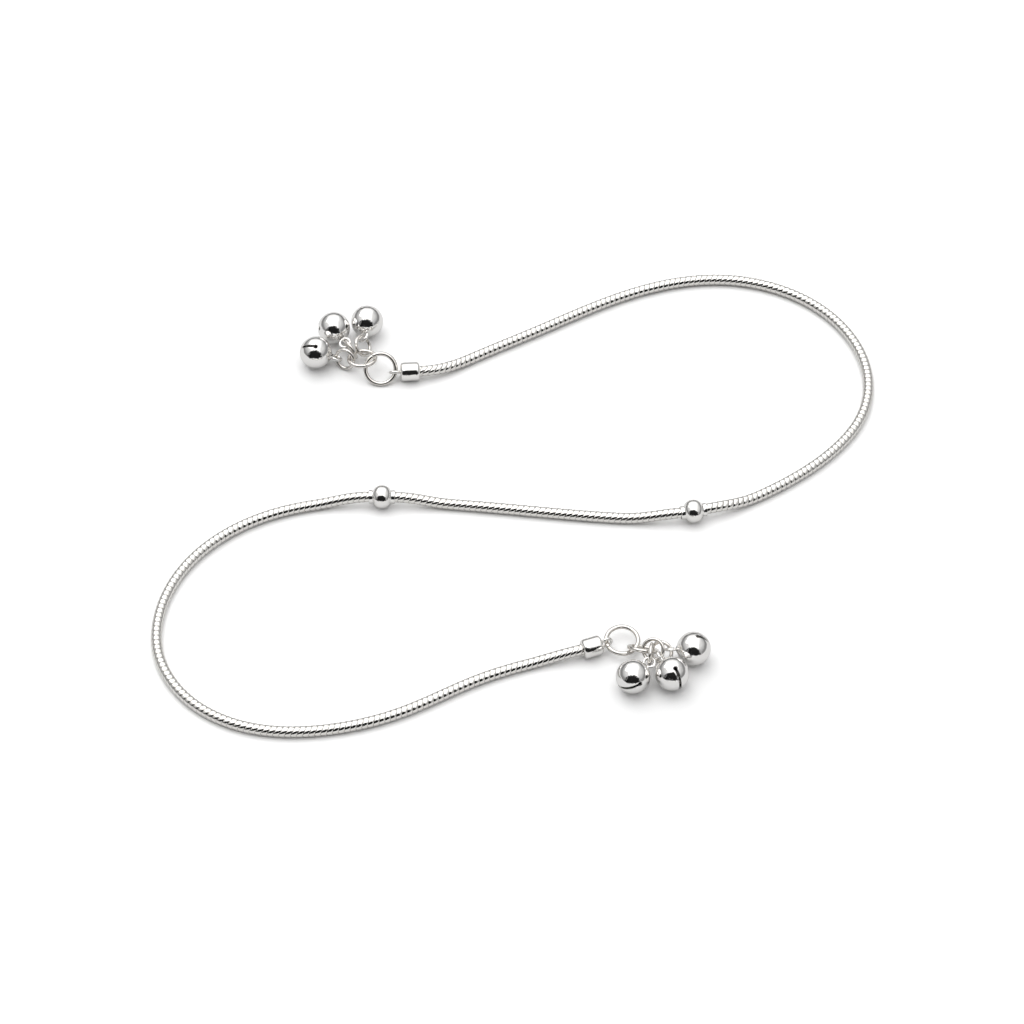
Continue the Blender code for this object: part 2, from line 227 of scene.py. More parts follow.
def joined(skins):
    """Several skins as one, with the point numbers of each moved past those before it."""
    starts = np.cumsum([0] + [len(points) for points, _, _ in skins])
    points = np.vstack([each[0] for each in skins])
    quads = np.vstack([each[1] + start for each, start in zip(skins, starts)])
    fans = np.vstack([each[2] + start for each, start in zip(skins, starts)])
    return points, quads, fans


def add_piece(name, solid, skins, material, crown=None, sharp_angle=SHARP_ANGLE):
    """One closed smooth piece that rides on the root, replaces a solid and takes a slot's finish.

    A crown gives each point a value for the finish to read; the chain's silver paints shade in its grooves
    by it.
    Edges stay sharp where they turn by more than the sharp angle, in degrees.
    """
    points, quads, fans = joined(skins)
    mesh = bpy.data.meshes.new(name)
    mesh.from_pydata(points.tolist(), [], quads.tolist() + fans.tolist())
    if crown is not None:
        mesh.attributes.new("crown", "FLOAT", "POINT").data.foreach_set("value", crown.astype(np.float32))
    form = bmesh.new()
    form.from_mesh(mesh)
    bmesh.ops.remove_doubles(form, verts=form.verts, dist=MERGE_DISTANCE)
    bmesh.ops.recalc_face_normals(form, faces=form.faces)
    form.to_mesh(mesh)
    form.free()
    mesh.shade_smooth()
    mesh.set_sharp_from_angle(angle=np.radians(sharp_angle))
    mesh.materials.append(material)
    piece = bpy.data.objects.new(name, mesh)
    bpy.context.scene.collection.objects.link(piece)
    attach(piece, "root")
    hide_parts(solid)


def to_place(points, centre, axes):
    """Points in a form's own axes moved to the shared frame, where axes holds its x, y and z as rows."""
    return centre + points @ np.asarray(axes)


def turned(profile, columns):
    """A profile of (height, radius) rows turned about its own z axis, as a grid."""
    height, radius = np.asarray(profile, float).T[..., None]
    angle = np.linspace(0, 2 * np.pi, columns, endpoint=False)
    return np.stack([radius * np.cos(angle), radius * np.sin(angle), height + 0 * angle], -1)


def turned_skin(profile, columns, centre, axes):
    """A turned form in place, closed by a pole at each end of its profile."""
    ends = np.array([(0, 0, profile[0][0]), (0, 0, profile[-1][0])])
    return skin(to_place(turned(profile, columns), centre, axes), poles=to_place(ends, centre, axes))


def axes_along(direction, hint):
    """Axes whose z is a direction and whose x is nearest to a hint."""
    z_axis = unit(direction)
    x_axis = unit(hint - z_axis * np.dot(hint, z_axis))
    return np.array([x_axis, np.cross(z_axis, x_axis), z_axis])


def wire_grid(arc, radius, wire_radius, columns):
    """Wire along an arc in the x-y plane: a round section, of one or changing radius, carried along it."""
    side = np.linspace(0, 2 * np.pi, columns, endpoint=False)
    arc = arc[:, None]
    wire_radius = np.reshape(wire_radius, (-1, 1))
    reach = radius + wire_radius * np.cos(side)
    rise = wire_radius * np.sin(side) + 0 * arc
    return np.stack([reach * np.cos(arc), reach * np.sin(arc), rise], -1)


def jump_ring_skin(centre, axes, radius, wire_radius):
    """A jump ring: wire carried round a circle from one cut end to the other, which meet in a hairline seam.

    The wire's radius falls by a small share towards both cut ends, with the square of the nearness to them.
    """
    gap = SEAM_GAP / radius / 2
    eased = SEAM_EASE / radius
    start = gap + eased * SEAM_SHARES
    middle = np.linspace(gap + eased, 2 * np.pi - gap - eased, RING_STEPS)
    arc = np.concatenate([start, middle, 2 * np.pi - start[::-1]])
    from_cut = np.minimum(arc, 2 * np.pi - arc) - gap
    swell = 1 - SEAM_TAPER * (1 - np.minimum(from_cut / eased, 1))**2
    cut = arc[[0, -1]]
    poles = radius * np.stack([np.cos(cut), np.sin(cut), 0 * cut], -1)
    grid = wire_grid(arc, radius, wire_radius * swell, RING_SIDES)
    return skin(to_place(grid, centre, axes), poles=to_place(poles, centre, axes))


# What the frame says about the solids

def triangles(name):
    """A solid's triangles in the shared frame, as an array of (triangle, corner, xyz)."""
    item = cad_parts[name]
    mesh = item.data
    mesh.calc_loop_triangles()
    points = np.empty(len(mesh.vertices) * 3)
    mesh.vertices.foreach_get("co", points)
    corners = np.empty(len(mesh.loop_triangles) * 3, np.int32)
    mesh.loop_triangles.foreach_get("vertices", corners)
    matrix = np.array(item.matrix_world)
    points = points.reshape(-1, 3) @ matrix[:3, :3].T + matrix[:3, 3]
    return points[corners].reshape(-1, 3, 3)


def areas_and_normals(faces):
    """The area and the unit normal of each triangle."""
    cross = np.cross(faces[:, 1] - faces[:, 0], faces[:, 2] - faces[:, 0])
    length = np.linalg.norm(cross, axis=1)
    return length / 2, cross / np.maximum(length, SMALLEST_AREA)[:, None]


def surface_centre(faces):
    """The centre of a surface: its triangles' centres weighted by their areas."""
    area = areas_and_normals(faces)[0]
    return (faces.mean(1) * area[:, None]).sum(0) / area.sum()


def thin_axis(faces):
    """The direction in which a flat set of triangles reaches least from its centre."""
    away = faces.reshape(-1, 3) - surface_centre(faces)
    return np.linalg.eigh(away.T @ away)[1][:, 0]


def box_centre(name):
    """The middle of a solid's box."""
    low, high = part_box(name)
    return (np.array(low) + np.array(high)) / 2


# The chain

def chain_line():
    """The chain's middle as rows of distance, x and y.

    It is a cubic spline through the route whose bend is even across every point and whose ends keep their
    headings. Between two points, each one and its slope are blended by the cubic shares of the way.
    """
    points = np.array(CHAIN_ROUTE)
    spans = np.linalg.norm(np.diff(points, axis=0), axis=1)
    before, after = spans[:-1], spans[1:]
    inner = np.arange(1, len(points) - 1)
    matrix = np.eye(len(points))
    matrix[inner, inner - 1] = 1 / before
    matrix[inner, inner] = 2 / before + 2 / after
    matrix[inner, inner + 1] = 1 / after
    headings = np.radians([START_HEADING, END_HEADING])
    right = np.zeros(points.shape)
    right[[0, -1]] = np.stack([np.cos(headings), np.sin(headings)], -1)
    rise = np.diff(points, axis=0) / spans[:, None]**2
    right[1:-1] = 3 * (rise[:-1] + rise[1:])
    slopes = np.linalg.solve(matrix, right)
    share = np.linspace(0, 1, ROUTE_STEPS + 1)[:-1, None]
    from_start, from_end = points[:-1, None], points[1:, None]
    pull = spans[:, None, None]
    stretches = ((1 + 2 * share) * (1 - share)**2 * from_start + share**2 * (3 - 2 * share) * from_end
                 + share * (1 - share)**2 * pull * slopes[:-1, None]
                 - share**2 * (1 - share) * pull * slopes[1:, None])
    line = np.vstack([stretches.reshape(-1, 2), points[-1:]])
    distance = np.concatenate([[0], np.cumsum(np.linalg.norm(np.diff(line, axis=0), axis=1))])
    return np.column_stack([distance, line])


LINE = chain_line()
CHAIN_LENGTH = LINE[-1, 0]


def nearest_distance(point):
    """The distance along the chain of the spot nearest to a point."""
    away = np.linalg.norm(LINE[:, 1:] - point[:2], axis=1)
    return LINE[away.argmin(), 0]


BEAD_DISTANCES = {name: nearest_distance(box_centre(name)) for name in ("bead_left", "bead_right")}


def chain_height(distance):
    """The height of the chain's middle: its own radius, raised in a smooth hump to each bead and cap."""
    half_bead = BEAD_COLLAR_SPAN / 2 + CHAIN_PLAY
    seat = SOCKET_DEPTH + CHAIN_PLAY
    seats = [(0, seat, CAP_RADIUS), (CHAIN_LENGTH - seat, CHAIN_LENGTH, CAP_RADIUS)]
    seats += [(spot - half_bead, spot + half_bead, BEAD_RADIUS) for spot in BEAD_DISTANCES.values()]
    height = np.full(np.shape(distance), CHAIN_RADIUS)
    for start, end, top in seats:
        away = np.maximum(np.maximum(start - distance, distance - end), 0)
        height += (top - CHAIN_RADIUS) * (1 + np.cos(np.pi * np.minimum(away / LIFT_SPAN, 1))) / 2
    return height


def chain_place(distance):
    """The chain's middle and its direction, side and top vectors at distances along it."""
    def middle(spot):
        x = np.interp(spot, LINE[:, 0], LINE[:, 1])
        y = np.interp(spot, LINE[:, 0], LINE[:, 2])
        return np.stack([x, y, chain_height(spot)], -1)

    step = CHAIN_RADIUS / 3
    low = np.clip(distance - step, 0, CHAIN_LENGTH)
    high = np.clip(distance + step, 0, CHAIN_LENGTH)
    along = unit(middle(high) - middle(low))
    side = unit(np.stack([-along[..., 1], along[..., 0], 0 * along[..., 0]], -1))
    return middle(distance), along, side, np.cross(along, side)


def cell_wave(angle, distance):
    """How far along, in cells, each seam wanders round the chain: two zigzags a turn, with rounded corners.

    The zigzags roll about the chain as it changes heading. Their size goes with the fourth power of the x of
    the chain's direction, so they are flatter on the bends, and they are taller by the caps.
    """
    across_table = chain_place(distance)[1][..., 0]
    turn = np.pi / 2 + CELL_TURN * across_table
    from_cap = np.minimum(distance, CHAIN_LENGTH - distance)
    size = CELL_WAVE_ON_BENDS + (CELL_WAVE - CELL_WAVE_ON_BENDS) * across_table**4
    size += CELL_WAVE_AT_CAPS * (1 - ease(from_cap / CAP_WAVE_SPAN))
    fade = ease(from_cap / (2 * CELL_PITCH))
    zigzag = np.arcsin(CELL_SHARPNESS * np.sin(2 * (angle - turn))) / np.arcsin(CELL_SHARPNESS)
    return fade * size * zigzag


def chain_skin():
    """The snake chain: a tube whose radius rises and falls once a cell, between seams that zigzag round it.

    Each cell's outline along the chain is a low arch that drops by the groove's depth at both edges, with
    the fourth power of the distance from its middle. The crown is 1 at a cell's middle and 0 in a groove,
    and the chain's silver paints shade in the grooves by it.
    """
    cells = int(round(CHAIN_LENGTH / CELL_PITCH))
    phase = np.append((np.arange(cells)[:, None] + CELL_ROWS).ravel(), cells)
    across = phase - np.floor(phase)
    crown = 1 - (2 * across - 1)**4
    angle = np.linspace(0, 2 * np.pi, CELL_SIDES, endpoint=False)
    even = phase[:, None] * CHAIN_LENGTH / cells
    distance = np.clip(even - cell_wave(angle, even) * CELL_PITCH, 0, CHAIN_LENGTH)
    middle, _, side, top = chain_place(distance)
    radius = (CHAIN_RADIUS - CELL_GROOVE * (1 - crown))[:, None, None]
    grid = middle + radius * (np.cos(angle)[:, None] * side + np.sin(angle)[:, None] * top)
    return skin(grid, poles=grid[[0, -1]].mean(1)), np.append(np.repeat(crown, CELL_SIDES), [0, 0])


# Beads and caps

def bead_skin(name):
    """A ball bead with a thin collar at both ends that closes on the chain.

    The ball's section is a superellipse: its height and radius each go with a power of the cosine and sine.
    """
    middle, along, side, top = chain_place(np.array(BEAD_DISTANCES[name]))
    bore = CHAIN_RADIUS + SNUG
    lip = bore + BEAD_COLLAR_WALL * COLLAR_LIP
    base = bore + BEAD_COLLAR_WALL * COLLAR_BASE
    half_span = BEAD_COLLAR_SPAN / 2
    power = 2 / BEAD_FULLNESS
    first = np.arcsin((base / BEAD_RADIUS)**(1 / power))
    angle = np.linspace(first, np.pi - first, BEAD_STEPS)
    reach = np.sign(np.cos(angle)) * np.abs(np.cos(angle))**power
    ball = np.column_stack([-BALL_HALF_LENGTH * reach, BEAD_RADIUS * np.sin(angle)**power])
    collar = np.array([(-half_span, bore), (-half_span, lip), (-half_span + SNUG, lip + SNUG),
                       (ball[0, 0] - 2 * SNUG, base - SNUG)])
    profile = np.vstack([collar, ball, collar[::-1] * (-1, 1)])
    return skin(to_place(turned(profile, BARREL_SIDES), middle, [side, top, along]), close_rows=True)


def loop_skins(base, outward, hole_axis):
    """A soldered wire loop and the low mound of solder that it stands in.

    Along the mound's profile its height rises with one power of the share of the way, and its radius falls
    with another power of what is left.
    """
    axes = axes_along(outward, hole_axis)
    arc = np.linspace(0, 2 * np.pi, LOOP_STEPS, endpoint=False)
    grid = wire_grid(arc, LOOP_RADIUS, LOOP_WIRE_RADIUS, LOOP_SIDES)
    wire = to_place(grid, base + axes[2] * LOOP_STANDOFF, axes[[1, 2, 0]])
    share = np.linspace(0, 1, MOUND_STEPS)
    rise = (LOOP_STANDOFF - LOOP_RADIUS) * (MOUND_RISE * share**MOUND_RISE_POWER - 1)
    mound = np.column_stack([rise, MOUND_RADIUS * (MOUND_SPREAD - share)**MOUND_SPREAD_POWER])
    return [skin(wire, close_rows=True), turned_skin(mound, MOUND_SIDES, base, axes)]


def cap_skins(name, spot, sign):
    """An end cap: a barrel with rolled edges and a socket for the chain, with its eyelet.

    The barrel's wall bulges most at its middle, and less with the square of the distance from there.
    """
    middle, along, _, _ = chain_place(np.array(spot))
    outward = unit(along * (1, 1, 0)) * sign
    mouth = middle - outward * SOCKET_DEPTH
    turn = np.linspace(0, np.pi / 2, CAP_EDGE_STEPS)
    rolled = CAP_EDGE_RADIUS * np.column_stack([1 - np.cos(turn), np.sin(turn) - 1])
    rolled += (0, CAP_RADIUS - CAP_BULGE)
    bore = CHAIN_RADIUS + SNUG
    floor = SOCKET_DEPTH + CHAIN_PLAY
    socket = [(floor, CLOSING_RADIUS), (floor, bore), (3 * SNUG, bore), (SNUG, bore + SNUG)]
    far_edge = rolled[::-1] * (-1, 1) + (CAP_LENGTH, 0)
    along_wall = np.linspace(rolled[-1, 0], far_edge[0, 0], CAP_WALL_STEPS)[1:-1]
    bulge = CAP_BULGE * (1 - (2 * along_wall / CAP_LENGTH - 1)**2)
    wall = np.column_stack([along_wall, CAP_RADIUS - CAP_BULGE + bulge])
    back = [(CAP_LENGTH, CAP_RADIUS / 2), (CAP_LENGTH, CLOSING_RADIUS)]
    profile = np.vstack([socket, rolled, wall, far_edge, back])
    barrel = turned_skin(profile, BARREL_SIDES, mouth, axes_along(outward, np.array([0, 0, 1.0])))
    faces = triangles(name)
    eyelet = faces[(faces @ outward).min(1) > mouth @ outward + CAP_LENGTH]
    return [barrel, *loop_skins(mouth + outward * CAP_LENGTH, outward, thin_axis(eyelet))]


# Rings and bells

def ring_facts(name):
    """A solid ring's centre and axis, and the radii of its wire's line and of a slightly fuller wire.

    The wire's line lies midway between the farthest and the nearest reach from the axis.
    """
    faces = triangles(name)
    centre = surface_centre(faces)
    axis = thin_axis(faces)
    away = faces.reshape(-1, 3) - centre
    reach = np.linalg.norm(away - (away @ axis)[:, None] * axis, axis=1)
    wire_radius = (reach.max() - reach.min()) / 2 + RING_FULLNESS
    return centre, axis, (reach.max() + reach.min()) / 2, wire_radius


def bell_facts(number):
    """A bell's centre, the direction to its loop, the loop's axis and the slot's axis, from its solid.

    The slot's axis is the direction that the narrow faces in the slot's walls share.
    """
    centre = box_centre(f"pellet_{number}")
    centre[2] = BELL_RADIUS
    faces = triangles(f"bell_{number}")
    reach = np.linalg.norm(faces - centre, axis=2)
    skim = BELL_RADIUS + SNUG / 2
    loop = faces[reach.min(1) > skim]
    outward = unit(surface_centre(loop) - centre)
    area, normal = areas_and_normals(faces)
    spot = unit(faces.mean(1) - centre)
    wall = (np.abs((normal * spot).sum(1)) < SLOT_WALL_LEAN) & (reach.max(1) < skim)
    lean = normal[wall] * area[wall, None]**0.5
    slot_axis = np.linalg.eigh(lean.T @ lean)[1][:, 2]
    return centre, outward, thin_axis(loop), unit(slot_axis - outward * np.dot(slot_axis, outward))


def slot_half_width(angle):
    """Half the slot's width at an angle from its middle: even, with a round hole at each end, then none."""
    away = np.abs(angle)
    hole = np.sqrt(np.maximum(SLOT_END_RADIUS**2 - (BELL_RADIUS * (away - SLOT_REACH))**2, 0))
    return np.where(away < SLOT_REACH, np.maximum(hole, SLOT_WIDTH / 2), hole)


def slot_columns():
    """Angles round the bell from the slot's middle: even, and close together at the round end holes."""
    hole = SLOT_END_RADIUS / BELL_RADIUS
    straight = np.linspace(0, SLOT_REACH - hole, SLOT_STEPS)[:-1]
    round_end = SLOT_REACH - hole * np.cos(np.linspace(0, np.pi, SLOT_STEPS))
    solid = np.linspace(SLOT_REACH + hole, np.pi, SHELL_STEPS)[1:]
    half = np.concatenate([straight, round_end, solid])
    return np.concatenate([half, -half[-2:0:-1]])


def bell_skin(centre, outward, slot_axis):
    """A hollow ball by longitude and latitude about its slot's axis, so that the slot lies on the equator.

    Each half runs from a pole at the slot's axis down to the slot's edge outside, over the rounded edge, and
    back up inside. Away from the slot the two halves meet at the equator, where their points are merged.
    """
    longitude = slot_columns()
    width = slot_half_width(longitude)
    width[width < SNUG / 10] = 0
    edge = width / BELL_RADIUS
    start = edge + SHELL_BEVEL / BELL_RADIUS * BEVEL_SHARES[:, None]
    share = np.linspace(0, 1, SHELL_STEPS)[1:-1, None]
    latitude = np.vstack([start, start[-1] + (np.pi / 2 - start[-1]) * share])
    rounding = SHELL_BEVEL * (1 - np.sqrt(1 - (1 - BEVEL_SHARES)**2))
    bevel = np.zeros(latitude.shape)
    bevel[:len(rounding)] = rounding[:, None] * np.minimum(2 * width / SLOT_WIDTH, 1)
    rows, columns = latitude.shape
    index = np.arange(rows * columns).reshape(rows, columns)
    walls = quads_between(index[:-1], index[1:])
    fan = fan_of(index[-1], index.size)
    in_slot = (width > 0) | (np.roll(width, -1) > 0)
    rim = quads_between(index[0], index[0] + index.size + 1)[in_slot]
    axes = np.array([np.cross(outward, slot_axis), slot_axis, -outward])
    halves = []
    for sign in (1, -1):
        shells = []
        half_ball = np.stack([np.cos(latitude) * np.sin(longitude), np.sin(latitude) * sign,
                              np.cos(latitude) * np.cos(longitude)], -1)
        for radius in (BELL_RADIUS - bevel, BELL_RADIUS - BELL_WALL + bevel / 2):
            grid = radius[..., None] * half_ball
            pole = [(0, radius[-1, 0] * sign, 0)]
            shells.append((to_place(np.vstack([grid.reshape(-1, 3), pole]), centre, axes), walls, fan))
        points, quads, fans = joined(shells)
        halves.append((points, np.vstack([quads, rim]), fans))
    return joined(halves)


def ball_skin(centre, radius):
    """A ball: a half circle turned about its z axis."""
    angle = np.linspace(0, np.pi, PELLET_STEPS)[1:-1]
    profile = radius * np.column_stack([-np.cos(angle), np.sin(angle)])
    poles = [centre - (0, 0, radius), centre + (0, 0, radius)]
    return skin(centre + turned(profile, PELLET_SIDES), poles=poles)


# Finishes

def node(tree, kind, inputs=(), **settings):
    """A shader node with its settings, and with inputs that are values or other nodes' outputs."""
    made = tree.nodes.new(kind)
    for key, value in settings.items():
        setattr(made, key, value)
    for key, value in dict(inputs).items():
        if isinstance(value, bpy.types.NodeSocket):
            tree.links.new(value, made.inputs[key])
        else:
            made.inputs[key].default_value = value
    return made


def arithmetic(tree, operation, first, second=0.0):
    """One step of arithmetic on shader values, by the name of the operation."""
    return node(tree, "ShaderNodeMath", {0: first, 1: second}, operation=operation).outputs[0]


def vector_value(tree, operation, first, second):
    """The single value that two vectors give: their distance apart, or their dot product."""
    inputs = {0: first, 1: tuple(second)}
    return node(tree, "ShaderNodeVectorMath", inputs, operation=operation).outputs["Value"]


def ranged(tree, value, span, result, shape="LINEAR"):
    """A shader value moved from one range to another and held inside it."""
    inputs = {"Value": value, "From Min": span[0], "From Max": span[1]}
    inputs.update({"To Min": result[0], "To Max": result[1]})
    return node(tree, "ShaderNodeMapRange", inputs, interpolation_type=shape).outputs["Result"]


def blended(tree, share, first, second):
    """Two colours mixed by a share of the second."""
    return node(tree, "ShaderNodeMix", {0: share, 6: first, 7: second}, data_type="RGBA").outputs[2]


def noise(tree, place, scale, detail):
    """Soft noise of about 0.5, whose features are one over its scale across."""
    inputs = {"Vector": place, "Scale": scale, "Detail": detail, "Roughness": NOISE_ROUGHNESS}
    return node(tree, "ShaderNodeTexNoise", inputs).outputs["Fac"]


def silver(name, bright, deep, roughness, ripple, grain, groove=None):
    """Polished silver: cloudy colour, roughness in soft patches, and a faint ripple of hand polish.

    The colour goes from deep to bright with one noise, and the roughness is raised and lowered with another.
    With a groove colour, the metal darkens to it where the crown attribute falls towards 0, as painted shade
    in the chain's grooves.
    """
    material = bpy.data.materials.new(name)
    material.use_nodes = True
    tree = material.node_tree
    shader = tree.nodes["Principled BSDF"]
    shader.inputs["Metallic"].default_value = 1
    place = tree.nodes.new("ShaderNodeTexCoord").outputs["Object"]
    colour = blended(tree, noise(tree, place, CLOUD_SCALE, COARSE_DETAIL), (*deep, 1), (*bright, 1))
    if groove is not None:
        crown = node(tree, "ShaderNodeAttribute", attribute_name="crown").outputs["Fac"]
        # Painted shade: the metal darkens to the groove colour in the chain's grooves, where the crown is
        # low
        colour = blended(tree, ranged(tree, crown, GROOVE_SHADE_SPAN, (0, 1)), (*groove, 1), colour)
    tree.links.new(colour, shader.inputs["Base Color"])
    patches = noise(tree, place, PATCH_SCALE, FINE_DETAIL)
    polish = ranged(tree, patches, PATCH_SPAN, [roughness * share for share in PATCH_ROUGHNESS])
    tree.links.new(polish, shader.inputs["Roughness"])
    height = noise(tree, place, grain, FINE_DETAIL)
    waves = node(tree, "ShaderNodeBump", {"Height": height, "Distance": ripple})
    tree.links.new(waves.outputs["Normal"], shader.inputs["Normal"])
    return material


# The chain's silver is a little darker than the beads' and caps' as painted shade, and its grooves take
# painted shade
CHAIN_SILVER = silver("snake_chain_silver", bright=(0.92, 0.90, 0.865), deep=(0.84, 0.825, 0.795),
                      roughness=0.10, ripple=0.000002, grain=2500, groove=(0.40, 0.385, 0.36))
BEAD_SILVER = silver("ball_bead_silver", bright=(0.95, 0.935, 0.91), deep=(0.92, 0.91, 0.89),
                     roughness=0.06, ripple=0.00003, grain=600)
CAP_SILVER = silver("end_cap_silver", bright=(0.95, 0.935, 0.91), deep=(0.92, 0.91, 0.89),
                    roughness=0.08, ripple=0.00002, grain=900)
# The rings' silver is darker than the other silver, as painted shade for the darker look of the crowded
# rings and their wire edges
RING_SHADED_SILVER = silver("jump_ring_shaded_silver", bright=(0.83, 0.805, 0.77), deep=(0.73, 0.705, 0.67),
                     roughness=0.07, ripple=0.000008, grain=1200)
BELL_SILVER = silver("bell_silver", bright=(0.94, 0.93, 0.915), deep=(0.90, 0.89, 0.875),
                     roughness=0.06, ripple=0.00006, grain=480)
PELLET_STEEL = silver("pellet_steel", bright=(0.62, 0.61, 0.60), deep=(0.50, 0.49, 0.48),
                      roughness=0.35, ripple=0.000006, grain=1800)


# The anklet

chain, chain_crown = chain_skin()
add_piece("chain_cells", "snake_chain", [chain], CHAIN_SILVER, chain_crown, sharp_angle=180)
for hand in ("left", "right"):
    add_piece(f"ball_bead_{hand}", f"bead_{hand}", [bead_skin(f"bead_{hand}")], BEAD_SILVER)
for hand, chain_end, sign in (("left", 0.0, -1), ("right", CHAIN_LENGTH, 1)):
    cap = cap_skins(f"end_cap_{hand}", chain_end, sign)
    add_piece(f"barrel_cap_{hand}", f"end_cap_{hand}", cap, CAP_SILVER)

RING_NODES = [f"{size}_ring_{hand}" for size in ("big", "middle") for hand in ("left", "right")]
RING_NODES += [f"small_ring_{number}" for number in range(1, 7)]
SEAM_HINT = np.array([0.3, 0.5, 0.8])
FIRST_SEAM_ANGLE = 0.9
SEAM_ANGLE_STEP = 1.7
for order, ring in enumerate(RING_NODES):
    centre, axis, radius, wire_radius = ring_facts(ring)
    axes = axes_along(axis, SEAM_HINT)
    spin = FIRST_SEAM_ANGLE + SEAM_ANGLE_STEP * order
    axes = axes_along(axis, np.cos(spin) * axes[0] + np.sin(spin) * axes[1])
    wire = jump_ring_skin(centre, axes, radius, wire_radius)
    add_piece(f"jump_{ring}", ring, [wire], RING_SHADED_SILVER)

for number in range(1, 7):
    centre, outward, loop_axis, slot_axis = bell_facts(number)
    shell = bell_skin(centre, outward, slot_axis)
    loop = loop_skins(centre + outward * BELL_RADIUS, outward, loop_axis)
    add_piece(f"ghungroo_{number}", f"bell_{number}", [shell, *loop], BELL_SILVER)
    low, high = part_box(f"pellet_{number}")
    pellet = ball_skin(box_centre(f"pellet_{number}"), (high[2] - low[2]) / 2)
    add_piece(f"pellet_ball_{number}", f"pellet_{number}", [pellet], PELLET_STEEL)


# The studio

def add_floor():
    """A plain white table top that runs far past the view.

    It is brighter to the camera than to the metal, as in a picture whose background is lifted to white.
    Away from the two groups of bells it is brighter still: painted light over the chain's soft shadow, while
    the bells' shadows stay dark.
    """
    corners = FLOOR_REACH * np.array([(-1, -1, 0), (1, -1, 0), (1, 1, 0), (-1, 1, 0)])
    mesh = bpy.data.meshes.new("table_top")
    mesh.from_pydata(corners.tolist(), [], [(0, 1, 2, 3)])
    material = bpy.data.materials.new("table_white")
    material.use_nodes = True
    tree = material.node_tree
    tree.nodes.clear()
    place = node(tree, "ShaderNodeNewGeometry").outputs["Position"]
    groups = [np.mean([box_centre(f"pellet_{number}") for number in trio], axis=0) for trio in BELL_GROUPS]
    away = [vector_value(tree, "DISTANCE", place, group) for group in groups]
    nearest = arithmetic(tree, "MINIMUM", *away)
    # Painted light: the floor is whiter to the camera away from the bells, which washes out the chain's soft
    # shadow
    painted_lift = ranged(tree, nearest, PAINTED_LIGHT_SPAN, (FLOOR_LIFT_BY_BELLS, FLOOR_PAINTED_LIGHT_BY_CHAIN), "SMOOTHSTEP")
    seen = node(tree, "ShaderNodeLightPath").outputs["Is Camera Ray"]
    white = blended(tree, seen, (*[FLOOR_TO_METAL] * 3, 1), painted_lift)
    matt = node(tree, "ShaderNodeBsdfDiffuse", {"Color": white}).outputs[0]
    node(tree, "ShaderNodeOutputMaterial", {"Surface": matt})
    mesh.materials.append(material)
    floor = bpy.data.objects.new("table_top", mesh)
    bpy.context.scene.collection.objects.link(floor)


def tent_opening(tree, ray):
    """A shader value that is 0 in the tent's dark opening and 1 outside it.

    The angles across and up from the opening's middle are taken as shares of its half sizes. The sum of the
    shares' cubes gives a rounded rectangle, narrower at the top, and added noise makes its edge ragged.
    """
    middle = unit(OPENING_DIRECTION)
    across = unit(np.cross(middle, (0, 0, 1)))
    upward = np.cross(across, middle)
    ahead = vector_value(tree, "DOT_PRODUCT", ray, middle)
    aside = vector_value(tree, "DOT_PRODUCT", ray, across)
    above = vector_value(tree, "DOT_PRODUCT", ray, upward)
    wide = arithmetic(tree, "ABSOLUTE", arithmetic(tree, "ARCTAN2", aside, ahead))
    high = arithmetic(tree, "ARCSINE", above)
    half_widths = (OPENING_HALF_WIDTH + OPENING_TAPER, OPENING_HALF_WIDTH - OPENING_TAPER)
    wide_share = arithmetic(tree, "DIVIDE", wide, ranged(tree, high, (-1, 1), half_widths))
    high_share = arithmetic(tree, "DIVIDE", arithmetic(tree, "ABSOLUTE", high), OPENING_HALF_HEIGHT)
    wide_part = arithmetic(tree, "POWER", wide_share, OPENING_POWER)
    high_part = arithmetic(tree, "POWER", high_share, OPENING_POWER)
    shape = arithmetic(tree, "ADD", wide_part, high_part)
    rough = arithmetic(tree, "SUBTRACT", noise(tree, ray, OPENING_RAGGED_SCALE, COARSE_DETAIL), 0.5)
    ragged = arithmetic(tree, "MULTIPLY", rough, OPENING_RAGGED)
    return ranged(tree, arithmetic(tree, "ADD", shape, ragged), OPENING_EDGE, (0, 1), "SMOOTHSTEP")


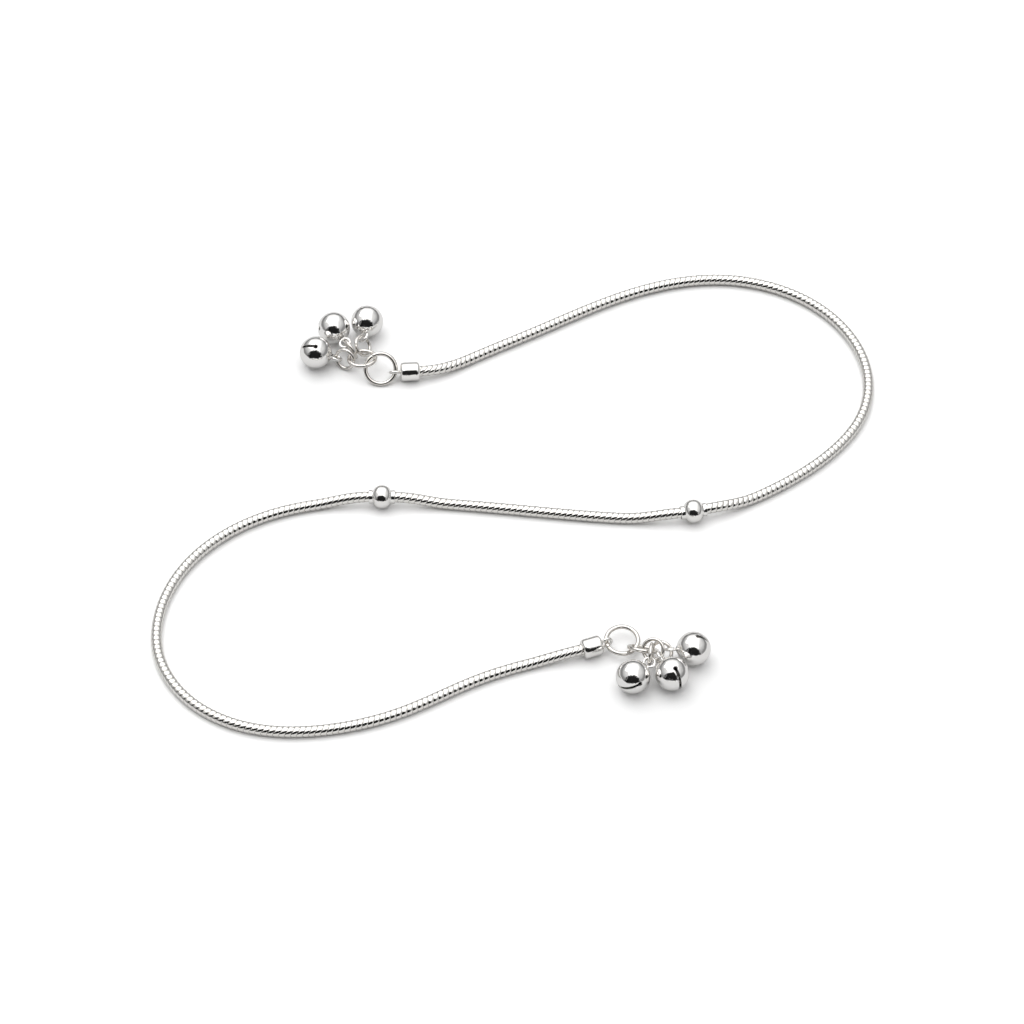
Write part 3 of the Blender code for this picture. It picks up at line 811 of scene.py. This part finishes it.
def add_world():
    """A light tent: bright overhead, with walls that are bright in front, dim at the sides and dark behind.

    Its glow is the largest of the ramp by height and the two kinds of wall, times a band that is brightest
    from front to back, times the dark opening. The camera sees a plain backdrop instead.
    """
    world = bpy.data.worlds.new("light_tent")
    bpy.context.scene.world = world
    world.use_nodes = True
    tree = world.node_tree
    tree.nodes.clear()
    ray = node(tree, "ShaderNodeTexCoord").outputs["Generated"]
    part = node(tree, "ShaderNodeSeparateXYZ", {0: ray}).outputs
    ramp = node(tree, "ShaderNodeValToRGB", {0: part["Z"]})
    ramp.color_ramp.interpolation = "EASE"
    while len(ramp.color_ramp.elements) < len(TENT_STOPS):
        ramp.color_ramp.elements.new(0.5)
    for element, (spot, value) in zip(ramp.color_ramp.elements, TENT_STOPS):
        element.position = spot
        element.color = (value, value, value, 1)
    sideways = arithmetic(tree, "ABSOLUTE", part["X"])
    band = ranged(tree, sideways, TENT_BAND_SPAN, (TENT_BAND, TENT_SIDES), "SMOOTHSTEP")
    front = ranged(tree, part["Y"], TENT_FRONT_SPAN, (TENT_FRONT, 0), "SMOOTHSTEP")
    side = ranged(tree, sideways, TENT_SIDE_SPAN, (0, TENT_SIDE_WALL), "SMOOTHSTEP")
    wall = arithmetic(tree, "MAXIMUM", ramp.outputs["Color"], arithmetic(tree, "MAXIMUM", front, side))
    opening = ranged(tree, tent_opening(tree, ray), (0, 1), (OPENING_GLOW, 1))
    glow = arithmetic(tree, "MULTIPLY", arithmetic(tree, "MULTIPLY", wall, band), opening)
    tent = node(tree, "ShaderNodeBackground", {"Color": (1, 1, 1, 1), "Strength": glow}).outputs[0]
    backdrop = node(tree, "ShaderNodeBackground", {"Color": (*[BACKDROP_WHITE] * 3, 1)}).outputs[0]
    seen = node(tree, "ShaderNodeLightPath").outputs["Is Camera Ray"]
    both = node(tree, "ShaderNodeMixShader", {0: seen, 1: tent, 2: backdrop}).outputs[0]
    node(tree, "ShaderNodeOutputWorld", {"Surface": both})


def add_softbox():
    """A square soft box above, behind and to the left, which sets the way that the shadows fall."""
    lamp = bpy.data.lights.new("softbox", "AREA")
    lamp.size = LAMP_SIZE
    lamp.energy = LAMP_POWER
    holder = bpy.data.objects.new("softbox", lamp)
    bpy.context.scene.collection.objects.link(holder)
    holder.location = LAMP_PLACE
    holder.rotation_euler = (-LAMP_PLACE).to_track_quat("-Z", "Y").to_euler()


def add_camera():
    """The photograph's camera: a long lens that looks down on the table."""
    camera = bpy.data.cameras.new("camera")
    camera.lens = CAMERA_LENS
    camera.clip_start = CAMERA_CLIP_START
    holder = bpy.data.objects.new("camera", camera)
    bpy.context.scene.collection.objects.link(holder)
    back = Vector((0, -np.cos(CAMERA_ELEVATION), np.sin(CAMERA_ELEVATION)))
    holder.location = CAMERA_TARGET + back * CAMERA_DISTANCE
    holder.rotation_euler = (np.pi / 2 - CAMERA_ELEVATION, 0, 0)
    bpy.context.scene.camera = holder


add_floor()
add_world()
add_softbox()
add_camera()
bpy.context.scene.view_settings.view_transform = "Standard"
